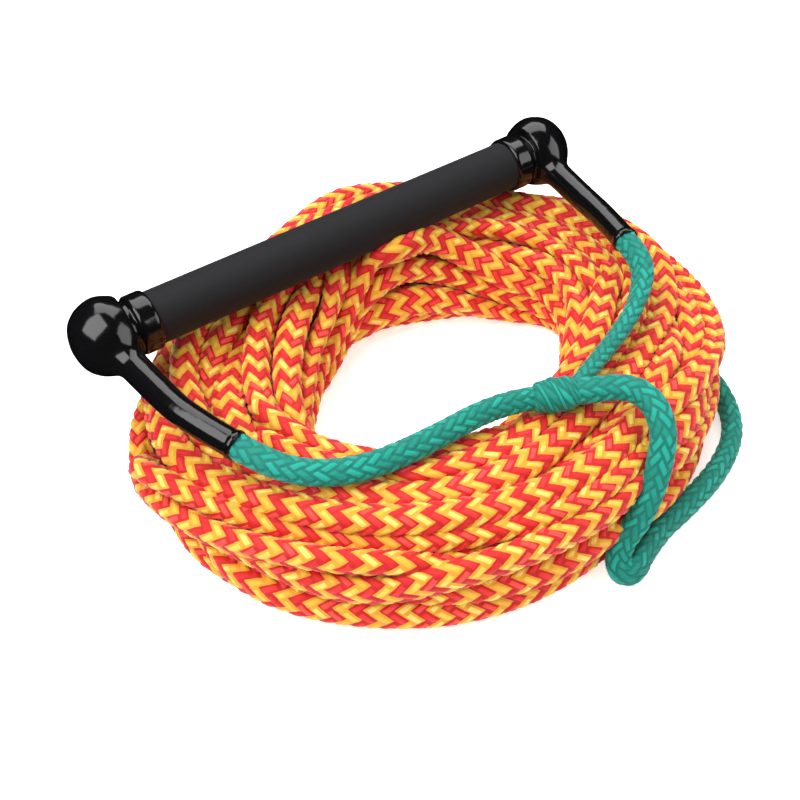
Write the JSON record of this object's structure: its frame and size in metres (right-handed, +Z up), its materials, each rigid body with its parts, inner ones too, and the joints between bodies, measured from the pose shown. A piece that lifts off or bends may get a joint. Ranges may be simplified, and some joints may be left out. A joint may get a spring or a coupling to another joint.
{
  "type": "tow rope with handle",
  "caption": "Towing line for a skier: a foam-covered bar held in a rope bridle, joined to a long two-colour braided line that is wound in a flat coil and ends in a hook loop.",
  "frame": {"origin": "middle of the coil's hole, on the surface that the coil lies on", "axes": "+X along the handle's bar towards the viewer's right, +Y from the splice towards the bar, +Z up"},
  "size_m": [0.3671, 0.3268, 0.1072],
  "materials": {
    "bar_tube": "plain extruded",
    "foam_grip": "matte closed-cell EVA foam",
    "end_core": "moulded",
    "end_cap": "glossy dipped PVC",
    "handle_rope": "hollow braid of green monofilament yarn",
    "line_rope": "hollow braid, red and yellow strands in zigzag bands"
  },
  "bodies": {
    "root": {"bar_tube": "bar_tube", "foam_grip": "foam_grip", "bar_rope": "handle_rope", "end_core_left": "end_core", "end_core_right": "end_core", "end_cap_left": "end_cap", "end_cap_right": "end_cap", "bridle_left_leg": "handle_rope", "bridle_right_leg": "handle_rope", "bridle_splice": "handle_rope", "handle_lead": "handle_rope", "line_hitch": "line_rope", "main_line_coil": "line_rope", "boat_end_loop": "line_rope"}
  },
  "joints": []
}
